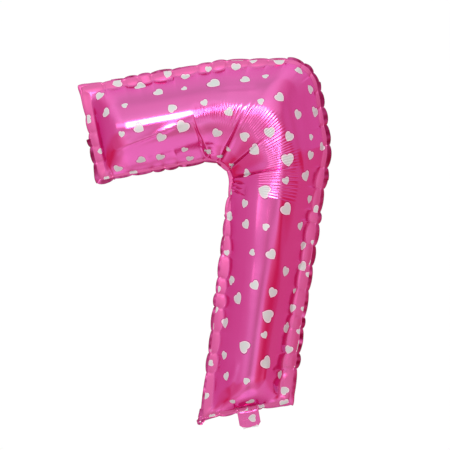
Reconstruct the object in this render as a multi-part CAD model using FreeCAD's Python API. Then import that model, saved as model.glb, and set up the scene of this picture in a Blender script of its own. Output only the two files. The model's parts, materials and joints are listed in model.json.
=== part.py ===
"""Foil number balloon in the shape of the digit 7, inflated. Lengths are in millimetres.

Frame: the origin is where the inflation tail leaves the body, the place where a ribbon is tied.
+Z is up, X runs along the bar of the digit, and the printed front faces -Y.

The body is two film panels welded along a flat margin. The film is drawn 0.5 mm thick so that it
meshes well; real film is about 0.03 mm. The tail is the flat neck that the gas is let in through,
and the valve is two clear films inside it that press each other shut.
"""

import FreeCAD
import Part

import math
import os

V = FreeCAD.Vector

# ---- driving dimensions ---------------------------------------------------------------------
DIGIT_HEIGHT = 800.0  # bottom edge to top edge, welded margins included
MARGIN = 9.0  # width of the welded margin round the body
FILM = 0.5  # drawn thickness of a film panel
WELD = 2 * FILM  # drawn thickness of the welded margin, both films
WELD_LAP = 2.0  # how far the margin is drawn inside the weld line, under the panels' edges
BULGE = 82.0  # how far a stroke of the digit swells from the weld plane
BULGE_PER_WIDTH = 0.12  # extra swell for each millimetre that the corner is wider than a stroke
END_ROUND = 92.0  # length over which a stroke swells from its closed end

BAR_LEFT = -240.0  # weld line at the bar's closed end
BAR_BOTTOM = 578.0  # weld line under the bar
WELD_TOP = DIGIT_HEIGHT - MARGIN
WELD_BOTTOM = MARGIN
STROKE = 212.0  # width of a stroke from weld to weld
CROOK_RADIUS = 50.0  # inside corner of the digit

TAIL_WIDTH = 48.0
TAIL_LENGTH = 28.0
TAIL_CORNER = 7.0  # chamfer at the tail's free corners
FOLD_CLEAR = 1.4  # the neck starts this far above the fold line, so that the tail can turn
TAIL_CLEAR = 0.3  # the tail starts this far below the fold line
SIDE_SEAL = 5.0  # welded strip along each side of the tail

VALVE_WIDTH = 34.0
VALVE_HEIGHT = 95.0  # how far the valve reaches into the body
VALVE_FILM = 0.3
VALVE_GAP = 0.3  # drawn gap between the two valve films; they touch in use
VALVE_SEAL = 3.0
MOUTH_PROUD = 2.0  # the valve films show this far past the end of the tail

EAR_REACH = 8.0  # how far a corner ear stands out past the weld corner
EAR_RADIUS = 8.0
HOLE_RADIUS = 1.5  # hanging hole in the lower left ear

FAN_LEAD = 5.0  # the cross-sections start to fan this much later on the outer weld
FAN_LAG = 62.0  # and square up again this much later on the outer weld

STATIONS = 96  # cross-sections along the digit
ACROSS = 16  # steps across a cross-section
END_STEPS = 8  # cross-sections in each rounded end

# ---- weld line: corners as (x, z, radius) ----------------------------------------------------
BAR_END_TOP = (BAR_LEFT, WELD_TOP, 0)
BAR_END_BOTTOM = (BAR_LEFT + 5, BAR_BOTTOM, 0)
CROOK = (73, BAR_BOTTOM, CROOK_RADIUS)
LEG_END_LEFT = (-104, WELD_BOTTOM, 0)
LEG_END_RIGHT = (95, WELD_BOTTOM, 0)
TOP_BREAK = (90, WELD_TOP, 300)
SHOULDER = (285, 761, 75)
ELBOW = (283, 560, 150)
INNER_CORNERS = [BAR_END_BOTTOM, CROOK, LEG_END_LEFT]
OUTER_CORNERS = [BAR_END_TOP, TOP_BREAK, SHOULDER, ELBOW, LEG_END_RIGHT]


class Track:
    """An open run of straight lines joined by tangent arcs, in the XZ plane, read by distance."""

    def __init__(self, corners):
        self.pieces = []
        last = V(corners[0][0], 0, corners[0][1])
        for before, here, after in zip(corners, corners[1:], corners[2:]):
            corner = V(here[0], 0, here[1])
            back = (V(before[0], 0, before[1]) - corner).normalize()
            ahead = (V(after[0], 0, after[1]) - corner).normalize()
            half = back.getAngle(ahead) / 2
            reach = here[2] / math.tan(half)
            start, stop = corner + back * reach, corner + ahead * reach
            middle = corner + (back + ahead).normalize() * (here[2] / math.sin(half) - here[2])
            self.pieces.append(Part.LineSegment(last, start))
            self.pieces.append(Part.Arc(start, middle, stop))
            last = stop
        self.pieces.append(Part.LineSegment(last, V(corners[-1][0], 0, corners[-1][1])))
        self.lengths = [piece.length() for piece in self.pieces]
        self.length = sum(self.lengths)

    def at(self, distance):
        k = 0
        while distance > self.lengths[k] and k < len(self.pieces) - 1:
            distance -= self.lengths[k]
            k += 1
        piece = self.pieces[k]
        along = min(distance, self.lengths[k])
        return piece.value(piece.parameterAtDistance(along, piece.FirstParameter))


def monotone(xs, ys, x):
    """A smooth rising curve through a few points: cubic pieces with harmonic-mean slopes."""
    steps = [(y1 - y0) / (x1 - x0) for x0, x1, y0, y1 in zip(xs, xs[1:], ys, ys[1:])]
    inner = [2 / (1 / a + 1 / b) for a, b in zip(steps, steps[1:])]
    slopes = [steps[0]] + inner + [steps[-1]]
    k = max(i for i in range(len(steps)) if x >= xs[i] or i == 0)
    width = xs[k + 1] - xs[k]
    t = (x - xs[k]) / width
    return (
        (2 * t**3 - 3 * t**2 + 1) * ys[k]
        + (t**3 - 2 * t**2 + t) * width * slopes[k]
        + (3 * t**2 - 2 * t**3) * ys[k + 1]
        + (t**3 - t**2) * width * slopes[k + 1]
    )


def crossings():
    """Pairs of points on the inner and outer weld line that face each other, end to end."""
    inner, outer = Track(INNER_CORNERS), Track(OUTER_CORNERS)
    bar, bend, leg = inner.lengths
    knots_in = [0, bar, bar + bend, inner.length]
    knots_out = [0, bar + FAN_LEAD, outer.length - leg + FAN_LAG, outer.length]
    pairs = []
    for distance in stations((inner.length + outer.length) / 2):
        low, high = 0.0, inner.length
        while high - low > 1e-6:
            s = (low + high) / 2
            if s + monotone(knots_in, knots_out, s) < 2 * distance:
                low = s
            else:
                high = s
        pairs.append((inner.at(high), outer.at(monotone(knots_in, knots_out, high))))
    return pairs


def stations(length):
    """Distances along the digit, close together where the ends swell."""
    turn = [math.pi / 2 * i / END_STEPS for i in range(END_STEPS)]
    first = [END_ROUND * (1 - math.cos(a)) for a in turn]
    count = STATIONS - 2 * END_STEPS
    middle = [END_ROUND + (length - 2 * END_ROUND) * i / count for i in range(count + 1)]
    return first + middle + [length - d for d in reversed(first)]


def swell(distance, length):
    """Share of the full bulge at a distance along the digit: round at both ends."""
    nearest = min(distance, length - distance)
    if nearest >= END_ROUND:
        return 1.0
    return math.sqrt(1 - (1 - nearest / END_ROUND) ** 2)


def net(inset, side):
    """Control points of one panel's surface, from end to end and from inner to outer weld."""
    pairs = crossings()
    spots = stations((Track(INNER_CORNERS).length + Track(OUTER_CORNERS).length) / 2)
    ways_in = [(q - p).cross(V(0, 1, 0)).normalize() for p, q in (pairs[0], pairs[-1])]
    rows = []
    for k, (p, q) in enumerate(pairs):
        across = (q - p).normalize()
        width = (q - p).Length
        share = swell(spots[k], spots[-1])
        from_bar_end = max(0, 1 - spots[k] / END_ROUND)
        from_leg_end = max(0, 1 - (spots[-1] - spots[k]) / END_ROUND)
        shift = (ways_in[1] * from_leg_end - ways_in[0] * from_bar_end) * inset
        height = (BULGE + BULGE_PER_WIDTH * (width - STROKE) - inset) * share
        row = []
        for j in range(ACROSS + 1):
            turn = math.pi * j / ACROSS
            along = width / 2 - (width / 2 - inset) * math.cos(turn)
            spot = p + across * along + shift
            row.append(V(spot.x, side * (WELD / 2 + height * math.sin(turn)), spot.z))
        rows.append(row)
    return rows


def clamped(count, degree=3):
    """Knots and multiplicities of an open uniform spline with that many control points."""
    spans = count - degree
    knots = [float(i) for i in range(spans + 1)]
    return knots, [degree + 1] + [1] * (spans - 1) + [degree + 1]


def surface(rows):
    uknots, umults = clamped(len(rows))
    vknots, vmults = clamped(len(rows[0]))
    made = Part.BSplineSurface()
    made.buildFromPolesMultsKnots(rows, umults, vmults, uknots, vknots, False, False, 3, 3)
    return made.toShape()


def weld_face():
    """The area inside the weld line."""
    inner, outer = Track(INNER_CORNERS), Track(OUTER_CORNERS)
    ends = [(BAR_END_BOTTOM, BAR_END_TOP), (LEG_END_LEFT, LEG_END_RIGHT)]
    closing = [Part.LineSegment(V(a[0], 0, a[1]), V(b[0], 0, b[1])) for a, b in ends]
    edges = [piece.toShape() for piece in inner.pieces + outer.pieces + closing]
    return Part.Face(Part.Wire(Part.__sortEdges__(edges)))


def flat(face, thickness):
    """A face of the weld plane as a plate that reaches equally to both sides."""
    return face.translated(V(0, -thickness / 2, 0)).extrude(V(0, thickness, 0))


def plate(wire, thickness):
    return Part.Face(wire).extrude(V(0, thickness, 0))


def slab(x0, x1, y0, y1, z0, z1):
    return Part.makeBox(x1 - x0, y1 - y0, z1 - z0, V(x0, y0, z0))


def panel(side):
    """One film panel: a swollen shell that stands on the weld plane."""
    outer, inner = surface(net(0, side)), surface(net(FILM, side))
    edges = [Part.Wire(Part.__sortEdges__(skin.Edges)) for skin in (outer, inner)]
    rim = Part.makeFace(edges, "Part::FaceMakerBullseye")
    shell = Part.makeShell([outer, inner, rim])
    shell.sewShape()
    body = Part.Solid(shell)
    body.fixTolerance(1e-4)
    if body.Volume < 0:
        body.reverse()
    return body


def neck_film(side):
    """The short flat stretch of a panel between its bottom edge and the tail."""
    near, far = sorted((side * WELD / 2, side * (WELD / 2 + FILM)))
    return slab(-TAIL_WIDTH / 2, TAIL_WIDTH / 2, near, far, FOLD_CLEAR, WELD_BOTTOM)


def ear(corner, inwards):
    """A rounded ear that stands out past a weld corner, away from the digit's middle."""
    centre = V(corner[0], -WELD / 2, corner[1])
    out = (centre - V(inwards[0], -WELD / 2, inwards[1])).normalize()
    tip = centre + out * EAR_REACH
    side = out.cross(V(0, 1, 0)) * EAR_RADIUS
    wire = Part.Wire(
        [
            Part.LineSegment(centre + side, tip + side).toShape(),
            Part.Arc(tip + side, tip + out * EAR_RADIUS, tip - side).toShape(),
            Part.LineSegment(tip - side, centre - side).toShape(),
            Part.LineSegment(centre - side, centre + side).toShape(),
        ]
    )
    return plate(wire, WELD), tip


def neck_gap():
    """Where the margin is left open: the passage into the body, and room for the tail to fold."""
    passage = TAIL_WIDTH / 2 - SIDE_SEAL
    fold = TAIL_WIDTH / 2 + TAIL_CLEAR
    inlet = slab(-passage, passage, -WELD, WELD, -MARGIN, WELD_BOTTOM + 2 * WELD_LAP)
    return inlet.fuse(slab(-fold, fold, -WELD, WELD, -MARGIN, FOLD_CLEAR))


def seam_parts():
    """The welded margin with its corner ears, and the separate ear that has the hanging hole."""
    inside = flat(weld_face().makeOffset2D(-WELD_LAP), WELD)
    ring = flat(weld_face().makeOffset2D(MARGIN), WELD)
    bar_middle = (BAR_LEFT + STROKE / 2, BAR_BOTTOM + STROKE / 2)
    leg_middle = (0, WELD_BOTTOM + STROKE / 2)
    tab, tip = ear(LEG_END_LEFT, leg_middle)
    ears = [ear(BAR_END_TOP, bar_middle)[0], ear(BAR_END_BOTTOM, bar_middle)[0]]
    ears.append(ear(LEG_END_RIGHT, leg_middle)[0])
    seam = ring.fuse(ears).removeSplitter().cut(inside).cut(neck_gap()).cut(tab)
    punch = Part.makeCylinder(HOLE_RADIUS, 4 * WELD, tip - V(0, 2 * WELD, 0), V(0, 1, 0))
    print("hanging hole at", [round(c, 2) for c in (tip.x, tip.z)])
    return seam, tab.cut(inside).cut(punch)


def tail_flap(side):
    """One film of the tail: flat, with chamfered free corners."""
    half, low, high = TAIL_WIDTH / 2, -TAIL_LENGTH, -TAIL_CLEAR
    level = min(side * WELD / 2, side * (WELD / 2 + FILM))
    corners = [
        (-half, high),
        (half, high),
        (half, low + TAIL_CORNER),
        (half - TAIL_CORNER, low),
        (-half + TAIL_CORNER, low),
        (-half, low + TAIL_CORNER),
        (-half, high),
    ]
    return plate(Part.makePolygon([V(x, level, z) for x, z in corners]), FILM)


def tail_seals():
    """The two welded strips along the sides of the tail."""
    half, low = TAIL_WIDTH / 2, -TAIL_LENGTH + TAIL_CORNER
    left = slab(-half, -half + SIDE_SEAL, -WELD / 2, WELD / 2, low, -TAIL_CLEAR)
    right = slab(half - SIDE_SEAL, half, -WELD / 2, WELD / 2, low, -TAIL_CLEAR)
    return Part.makeCompound([left, right])


def valve_film(side, low, high):
    near, far = sorted((side * VALVE_GAP / 2, side * (VALVE_GAP / 2 + VALVE_FILM)))
    return slab(-VALVE_WIDTH / 2, VALVE_WIDTH / 2, near, far, low, high)


def valve_welds():
    """The welded edges that make a flat tube of the two valve films."""
    half, gap = VALVE_WIDTH / 2, VALVE_GAP / 2
    left = slab(-half, -half + VALVE_SEAL, -gap, gap, FOLD_CLEAR, VALVE_HEIGHT)
    right = slab(half - VALVE_SEAL, half, -gap, gap, FOLD_CLEAR, VALVE_HEIGHT)
    return Part.makeCompound([left, right])


def main():
    os.makedirs("parts", exist_ok=True)
    seam, tab = seam_parts()
    mouth_end = -TAIL_LENGTH - MOUTH_PROUD
    parts = {
        "front_panel": panel(-1),
        "back_panel": panel(1),
        "neck_front_film": neck_film(-1),
        "neck_back_film": neck_film(1),
        "perimeter_seam": seam,
        "hanging_tab": tab,
        "valve_front_film": valve_film(-1, FOLD_CLEAR, VALVE_HEIGHT),
        "valve_back_film": valve_film(1, FOLD_CLEAR, VALVE_HEIGHT),
        "valve_side_welds": valve_welds(),
        "tail_front_film": tail_flap(-1),
        "tail_back_film": tail_flap(1),
        "tail_side_seals": tail_seals(),
        "valve_mouth_front": valve_film(-1, mouth_end, -TAIL_CLEAR),
        "valve_mouth_back": valve_film(1, mouth_end, -TAIL_CLEAR),
    }
    for name, shape in parts.items():
        assert shape.isValid() and shape.Volume > 0, name
        shape.exportStep(f"parts/{name}.step")
        box = shape.BoundBox
        print(
            name,
            len(shape.Solids),
            round(shape.Volume, 1),
            [round(v, 1) for v in (box.XMin, box.XMax, box.YMin, box.YMax, box.ZMin, box.ZMax)],
        )


main()
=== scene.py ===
"""Looks of the foil number balloon. Lengths are in metres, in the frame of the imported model:
the origin is the root of the tail, +Z is up the digit, and the printed front faces -Y."""

import json
import math

import bmesh
import bpy
import numpy as np
from mathutils import Matrix, Vector


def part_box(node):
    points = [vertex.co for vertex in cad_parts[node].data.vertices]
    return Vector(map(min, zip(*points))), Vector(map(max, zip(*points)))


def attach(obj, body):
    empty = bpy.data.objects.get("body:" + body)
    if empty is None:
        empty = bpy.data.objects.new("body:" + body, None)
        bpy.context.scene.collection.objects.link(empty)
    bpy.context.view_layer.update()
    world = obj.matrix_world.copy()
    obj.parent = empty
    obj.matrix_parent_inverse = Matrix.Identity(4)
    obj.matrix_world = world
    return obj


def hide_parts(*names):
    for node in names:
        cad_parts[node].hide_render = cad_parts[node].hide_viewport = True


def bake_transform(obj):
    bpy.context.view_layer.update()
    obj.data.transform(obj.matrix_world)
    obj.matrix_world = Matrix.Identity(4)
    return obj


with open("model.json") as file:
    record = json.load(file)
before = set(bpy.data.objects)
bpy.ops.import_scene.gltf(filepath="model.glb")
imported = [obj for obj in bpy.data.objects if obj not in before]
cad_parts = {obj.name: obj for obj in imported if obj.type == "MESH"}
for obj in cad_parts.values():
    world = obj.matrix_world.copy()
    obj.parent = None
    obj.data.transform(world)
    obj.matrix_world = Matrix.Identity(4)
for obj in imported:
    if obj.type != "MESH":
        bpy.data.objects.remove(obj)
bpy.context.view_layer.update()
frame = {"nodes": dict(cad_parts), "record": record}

MM = 0.001

# ---- the digit's weld line, from the CAD boxes and the design's own dimensions ----
PANEL_LOW, PANEL_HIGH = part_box("front_panel")
BAR_LEFT, WELD_BOTTOM, WELD_TOP = PANEL_LOW.x, PANEL_LOW.z, PANEL_HIGH.z
STROKE = 0.212
BULGE = 0.082  # how far each film swells out where the digit is one stroke wide
BULGE_PER_WIDTH = 0.12
END_ROUND = 0.092  # how far from each end of the digit the film reaches its full swell
BAR_BOTTOM = 0.578
CROOK_RADIUS = 0.050
FILM_GAP = 0.0003

# corners of the weld line: x, z and the radius that rounds the corner
BAR_END_TOP = (BAR_LEFT, WELD_TOP, 0)
BAR_END_BOTTOM = (BAR_LEFT + 0.005, BAR_BOTTOM, 0)
CROOK = (0.073, BAR_BOTTOM, CROOK_RADIUS)
LEG_END_LEFT = (-0.104, WELD_BOTTOM, 0)
LEG_END_RIGHT = (0.095, WELD_BOTTOM, 0)
TOP_BREAK = (0.090, WELD_TOP, 0.300)
SHOULDER = (0.285, 0.761, 0.075)
ELBOW = (0.283, 0.560, 0.150)
INNER_CORNERS = [BAR_END_BOTTOM, CROOK, LEG_END_LEFT]
OUTER_CORNERS = [BAR_END_TOP, TOP_BREAK, SHOULDER, ELBOW, LEG_END_RIGHT]
CROOK_CENTRE = np.array([0.0051, 0.528])
BAR_OUT, LEG_OUT = np.array([-1.0, 0.0]), np.array([0.0, -1.0])

# ---- mesh density ----
STEP = 0.0027  # between rows along the bar and leg
FAN_STEP = 0.0011  # between rows round the crook
FAN_FADE = 0.03
FAN_BEFORE, FAN_AFTER = 0.035, 0.045  # how far the close rows run on either side of the crook
ACROSS = 112  # quads across a stroke
END_ROWS = 52  # rows in each round end
TRACK_STEP = 0.00025
HEADING_REACH = 0.0006
RUN_SAMPLES = 20001
STATION_SAMPLES = 4000


def unit(v):
    return v / np.linalg.norm(v, axis=-1, keepdims=True)


def smooth(x, low, high):
    """0 below low, 1 above high, and an even S between them."""
    t = np.clip((x - low) / (high - low), 0, 1)
    return t * t * (3 - 2 * t)


class Track:
    """An open run of straight lines joined by arcs in the XZ plane, read by distance."""

    def __init__(self, corners):
        runs = []
        last = np.array(corners[0][:2], float)
        self.bends = []
        length = 0.0
        for before, here, after in zip(corners, corners[1:], corners[2:]):
            corner = np.array(here[:2], float)
            back = unit(np.array(before[:2]) - corner)
            ahead = unit(np.array(after[:2]) - corner)
            half = math.acos(float(back @ ahead)) / 2
            reach = here[2] / math.tan(half)
            centre = corner + unit(back + ahead) * here[2] / math.sin(half)
            start, stop = corner + back * reach, corner + ahead * reach
            a, b = (math.atan2(p[1] - centre[1], p[0] - centre[0]) for p in (start, stop))
            turn = (b - a + math.pi) % (2 * math.pi) - math.pi
            length += np.linalg.norm(start - last)
            self.bends.append((length, length + abs(turn) * here[2]))
            length += abs(turn) * here[2]
            runs.append(self.line(last, start))
            angles = a + np.linspace(0, turn, max(8, int(abs(turn) * here[2] / TRACK_STEP)))
            runs.append(centre + here[2] * np.stack([np.cos(angles), np.sin(angles)], 1))
            last = stop
        runs.append(self.line(last, np.array(corners[-1][:2], float)))
        pts = np.concatenate(runs)
        keep = np.r_[True, np.linalg.norm(np.diff(pts, axis=0), axis=1) > 1e-7]
        self.points = pts[keep]
        steps = np.linalg.norm(np.diff(self.points, axis=0), axis=1)
        self.distance = np.r_[0, np.cumsum(steps)]
        self.length = self.distance[-1]

    @staticmethod
    def line(a, b):
        count = max(2, int(np.linalg.norm(b - a) / TRACK_STEP))
        return a + (b - a) * np.linspace(0, 1, count)[:, None]

    def at(self, s):
        x = np.interp(s, self.distance, self.points[:, 0])
        z = np.interp(s, self.distance, self.points[:, 1])
        return np.stack([x, z], -1)

    def heading(self, s):
        ahead = self.at(np.minimum(s + HEADING_REACH, self.length))
        return unit(ahead - self.at(np.maximum(s - HEADING_REACH, 0)))


def monotone(xs, ys, x):
    """A smooth rising curve through a few points."""
    xs, ys = np.array(xs), np.array(ys)
    steps = np.diff(ys) / np.diff(xs)
    slopes = np.r_[steps[0], 2 / (1 / steps[:-1] + 1 / steps[1:]), steps[-1]]
    k = np.clip(np.searchsorted(xs, x, side="right") - 1, 0, len(steps) - 1)
    width = np.diff(xs)[k]
    t = (x - xs[k]) / width
    return (
        (2 * t**3 - 3 * t**2 + 1) * ys[k]
        + (t**3 - 2 * t**2 + t) * width * slopes[k]
        + (3 * t**2 - 2 * t**3) * ys[k + 1]
        + (t**3 - t**2) * width * slopes[k + 1]
    )


INNER, OUTER = Track(INNER_CORNERS), Track(OUTER_CORNERS)

CROOK_START, CROOK_END = INNER.bends[0]

# powers of the pillow's shape: a lower fullness makes a fuller section, and with a higher end power the
# film swells sooner from both ends
PILLOW_FULLNESS = 0.90
END_POWER = 2.6

# beside each weld the film lies nearly flat, as a shelf, before it turns up into the pillow
SHELF_SLOPE = 0.30
SHELF_MOST = 0.018  # the shelf stops rising this far from the weld
SHELF_FADE = 0.028  # the shelf follows the seam's lobes only about this far over the film
SHELF_BAR, SHELF_LEG = 0.017, 0.008  # beside the welds at the bar's end and at the leg's end
SHELF_UNDER_BAR = 0.006
SHELF_DOWN_LEG = 0.013  # added down the leg, inner side
LEG_STARTS, LEG_SETTLES = 0.03, 0.16  # past the crook, along the inner weld
SHELF_OUTER = 0.018
SHOULDER_LESS = 0.008
SHOULDER_STARTS, SHOULDER_STOPS = (0.42, 0.50), (0.70, 0.85)  # along the outer weld
FOOT_MORE = 0.009
FOOT_STARTS, FOOT_SETTLES = 0.45, 0.15  # before the outer weld's end


def shelf_inner(s):
    """Width of the flat shelf beside the inner weld: narrow under the bar, wide down the leg."""
    return SHELF_UNDER_BAR + SHELF_DOWN_LEG * smooth(s, CROOK_END + LEG_STARTS, CROOK_END + LEG_SETTLES)


def shelf_outer(s):
    """Width of the flat shelf beside the outer weld: narrow at the shoulder, wide down the leg."""
    shoulder = smooth(s, *SHOULDER_STARTS) * (1 - smooth(s, *SHOULDER_STOPS))
    foot = smooth(s, OUTER.length - FOOT_STARTS, OUTER.length - FOOT_SETTLES)
    return SHELF_OUTER - SHOULDER_LESS * shoulder + FOOT_MORE * foot


def stations(run, fan):
    """Distances along the digit: even round both ends, and close together round the crook."""
    total = run[-1] / 2
    turn = np.linspace(0, math.pi / 2, END_ROWS, endpoint=False)
    first = END_ROUND * (1 - np.cos(turn))
    fine = np.linspace(END_ROUND, total - END_ROUND, STATION_SAMPLES)
    in_fan = smooth(fine, fan[0] - FAN_FADE, fan[0]) * (1 - smooth(fine, fan[1], fan[1] + FAN_FADE))
    density = 1 / STEP + (1 / FAN_STEP - 1 / STEP) * in_fan
    count = np.r_[0, np.cumsum((density[1:] + density[:-1]) / 2 * np.diff(fine))]
    middle = np.interp(np.linspace(0, count[-1], int(count[-1])), count, fine)
    return np.r_[first, middle, total - first[::-1]]


# a row's outer point against its inner one: this much further from the bar's end where the crook
# starts, and this much nearer to the leg's end where it stops
OUTER_AHEAD, LEG_AHEAD = 0.005, 0.062


def shelf(flat_width, seam, s, from_weld):
    """The shelf's width over each row, which follows the seam's lobes near the weld only."""
    ledge = SEAMS[seam].ledge(s)[:, None]
    return flat_width[:, None] * (1 + (ledge - 1) * np.exp(-((from_weld / SHELF_FADE) ** 2)))


def lay_out():
    """The inflated front film as a grid, with each row's run, weld distances and width."""
    leg = INNER.length - CROOK_END
    knots_in = [0, CROOK_START, CROOK_END, INNER.length]
    knots_out = [0, CROOK_START + OUTER_AHEAD, OUTER.length - leg + LEG_AHEAD, OUTER.length]
    s_in = np.linspace(0, INNER.length, RUN_SAMPLES)
    run = s_in + monotone(knots_in, knots_out, s_in)
    fan = np.interp([CROOK_START - FAN_BEFORE, CROOK_END + FAN_AFTER], s_in, run / 2)
    where = stations(run, fan)
    s_in = np.interp(2 * where, run, s_in)
    s_out = np.minimum(monotone(knots_in, knots_out, s_in), OUTER.length)
    s_out[-1] = OUTER.length
    p, q = INNER.at(s_in), OUTER.at(s_out)
    nearest = np.minimum(where, where[-1] - where)
    ledge = np.where(where < where[-1] / 2, SHELF_BAR, SHELF_LEG)
    rise = np.clip((nearest - ledge) / (END_ROUND - ledge), 0, 1)
    share = (1 - (1 - rise) ** END_POWER) ** PILLOW_FULLNESS
    width = np.linalg.norm(q - p, axis=1)
    phi = np.linspace(0, math.pi, ACROSS + 1)
    height = (BULGE + BULGE_PER_WIDTH * (width - STROKE)) * share
    part = ((1 - np.cos(phi)) / 2)[None]
    flat = p[:, None] + (q - p)[:, None] * part[..., None]
    across = part * width[:, None]
    from_outer = width[:, None] - across
    low = shelf(shelf_inner(s_in), "inner", s_in, across)
    high = shelf(shelf_outer(s_out), "outer", s_out, from_outer)
    place = np.clip((across - low) / np.maximum(across - low + from_outer - high, MM), 0, 1)
    pillow = height[:, None] * (4 * place * (1 - place)) ** PILLOW_FULLNESS
    nearest_weld = np.minimum(np.minimum(across, from_outer), nearest[:, None])
    depth = np.hypot(pillow, SHELF_SLOPE * np.minimum(nearest_weld, SHELF_MOST))
    base = np.stack([flat[..., 0], -depth - FILM_GAP, flat[..., 1]], -1)
    return base, where, s_in, s_out, width


def seam_distances(base):
    """How far each grid point is over the film from the inner, outer, bar-end and leg-end welds."""
    over = np.linalg.norm(np.diff(base, axis=1), axis=2)
    inner = np.concatenate([np.zeros((len(base), 1)), np.cumsum(over, axis=1)], axis=1)
    outer = inner[:, -1:] - inner
    along = np.linalg.norm(np.diff(base, axis=0), axis=2)
    bar = np.concatenate([np.zeros((1, base.shape[1])), np.cumsum(along, axis=0)], axis=0)
    return inner, outer, bar, bar[-1:] - bar


def normals(grid):
    """Unit normals of a grid of points, pointing out of the digit's front."""
    du = np.gradient(grid, axis=0)
    dv = np.gradient(grid, axis=1)
    n = np.cross(du, dv)
    n /= np.maximum(np.linalg.norm(n, axis=2, keepdims=True), 1e-12)
    n[0], n[-1] = n[1], n[-2]
    flip = np.sign(np.sum(n[..., 1]))
    return -n * flip


# ---- wrinkles ----
def band_noise(s, wavelength, seed, count=14):
    """Smooth random waves along s with wavelengths round the one given."""
    r = np.random.default_rng(seed)
    total = np.zeros_like(s)
    for _ in range(count):
        w = wavelength * r.uniform(0.65, 1.6)
        total += np.sin(2 * math.pi * s / w + r.uniform(0, 2 * math.pi))
    return total / math.sqrt(count / 2)


def field_noise(a, b, wavelength, seed, count=18):
    """Smooth random waves over a surface."""
    r = np.random.default_rng(seed)
    total = np.zeros(np.broadcast(a, b).shape)
    for _ in range(count):
        w = 2 * math.pi / (wavelength * r.uniform(0.6, 1.7))
        t = r.uniform(0, 2 * math.pi)
        total += np.sin(w * (a * math.cos(t) + b * math.sin(t)) + r.uniform(0, 2 * math.pi))
    return total / math.sqrt(count / 2)


GATHER_DEPTH = (0.0012, 0.0030)
GATHER_REACH = (0.014, 0.034)
LONG_GATHERS, LONG_REACH = 0.25, 0.022  # the share that run further up the film, and how much further
GATHER_LEAN = 0.20
PUFF = (0.5, 1.0)
LAST_LOBE = 0.8  # the room left for the last lobe, as a share of the widest spacing
SEAM_END_FADE = 0.012
STILL_FADE = 0.006
LEDGE_LEAST, LEDGE_PUFF = 0.62, 0.50
SCALLOP, SCALLOP_IN, SCALLOP_SIDE = 0.0030, 0.0016, 0.0016
LOBE_HEIGHT, LOBE_AT, LOBE_SPREAD = 0.0016, 0.009, 0.010
VALLEY_WIDTH, VALLEY_WIDENS = 0.0012, 0.035
VALLEY_TAPER = 1.2
VALLEY_START = 0.002


class Seam:
    """One stretch of weld: where the film is gathered along it, and how its edge waves."""

    def __init__(self, length, seed, spacing, still=(9, 9)):
        self.length = length
        self.still = still
        r = np.random.default_rng(seed)
        spots = [0.0]
        while spots[-1] < length - spacing[1] * LAST_LOBE:
            spots.append(spots[-1] + r.uniform(*spacing))
        spots[-1] = length
        self.spots = np.array(spots)
        n = len(spots)
        self.depth = r.uniform(*GATHER_DEPTH, n)
        self.reach = r.uniform(*GATHER_REACH, n)
        self.reach[r.random(n) < LONG_GATHERS] += LONG_REACH
        self.lean = r.uniform(-GATHER_LEAN, GATHER_LEAN, n)
        self.puff = r.uniform(*PUFF, n)
        self.tilt = r.uniform(-1.0, 1.0, n)

    def lobe(self, s):
        """Which lobe a place is in, and a hump that is 0 at its two gathers and 1 between."""
        k = np.clip(np.searchsorted(self.spots, s, side="right") - 1, 0, len(self.spots) - 2)
        part = (s - self.spots[k]) / (self.spots[k + 1] - self.spots[k])
        return k, np.sin(math.pi * np.clip(part, 0, 1)) ** 0.5

    def ends(self, s):
        """1 along the seam, and 0 at its ends and over the stretch that is kept straight."""
        start, stop = self.still
        straight = smooth(s, start - STILL_FADE, start) * (1 - smooth(s, stop, stop + STILL_FADE))
        inside = smooth(s, 0, SEAM_END_FADE) * (1 - smooth(s, self.length - SEAM_END_FADE, self.length))
        return inside * (1 - straight)

    def ledge(self, s):
        """How wide the flat shelf is, against its usual width."""
        k, hump = self.lobe(s)
        return LEDGE_LEAST + LEDGE_PUFF * self.puff[k] * hump

    def shift(self, s):
        """How far the weld moves outwards, and forwards or back, at a distance along it."""
        k, hump = self.lobe(s)
        out = (SCALLOP * self.puff[k] * hump - SCALLOP_IN) * self.ends(s)
        side = SCALLOP_SIDE * self.tilt[k] * hump * self.ends(s)
        return out, side

    def gathers(self, s, d):
        """Lobes beside the weld, and the thin valleys between them that run up the film."""
        k, hump = self.lobe(s)
        total = LOBE_HEIGHT * self.puff[k] * hump * np.exp(-((d - LOBE_AT) / LOBE_SPREAD) ** 2)
        for spot, depth, reach, lean in zip(self.spots, self.depth, self.reach, self.lean):
            x = np.clip(d / reach, 0, 1)
            line = s - spot - lean * d
            width = VALLEY_WIDTH + VALLEY_WIDENS * d
            valley = depth * np.exp(-np.abs(line) / width) * (1 - x) ** VALLEY_TAPER
            total -= valley * (1 - np.exp(-d / VALLEY_START))
        return total


# the leg's end weld is kept straight over the neck, where the tail leaves it
NECK_HALF = 0.0235
NECK_MARGIN = 0.002
NECK_AT = -LEG_END_LEFT[0]
NECK_REACH = (NECK_AT - NECK_HALF - NECK_MARGIN, NECK_AT + NECK_HALF + NECK_MARGIN)
SEAMS = {
    "inner": Seam(INNER.length, 11, (0.026, 0.062)),
    "outer": Seam(OUTER.length, 23, (0.026, 0.062)),
    "bar": Seam(math.dist(BAR_END_TOP[:2], BAR_END_BOTTOM[:2]), 37, (0.030, 0.042)),
    "leg": Seam(math.dist(LEG_END_LEFT[:2], LEG_END_RIGHT[:2]), 41, (0.024, 0.040), NECK_REACH),
}

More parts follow.
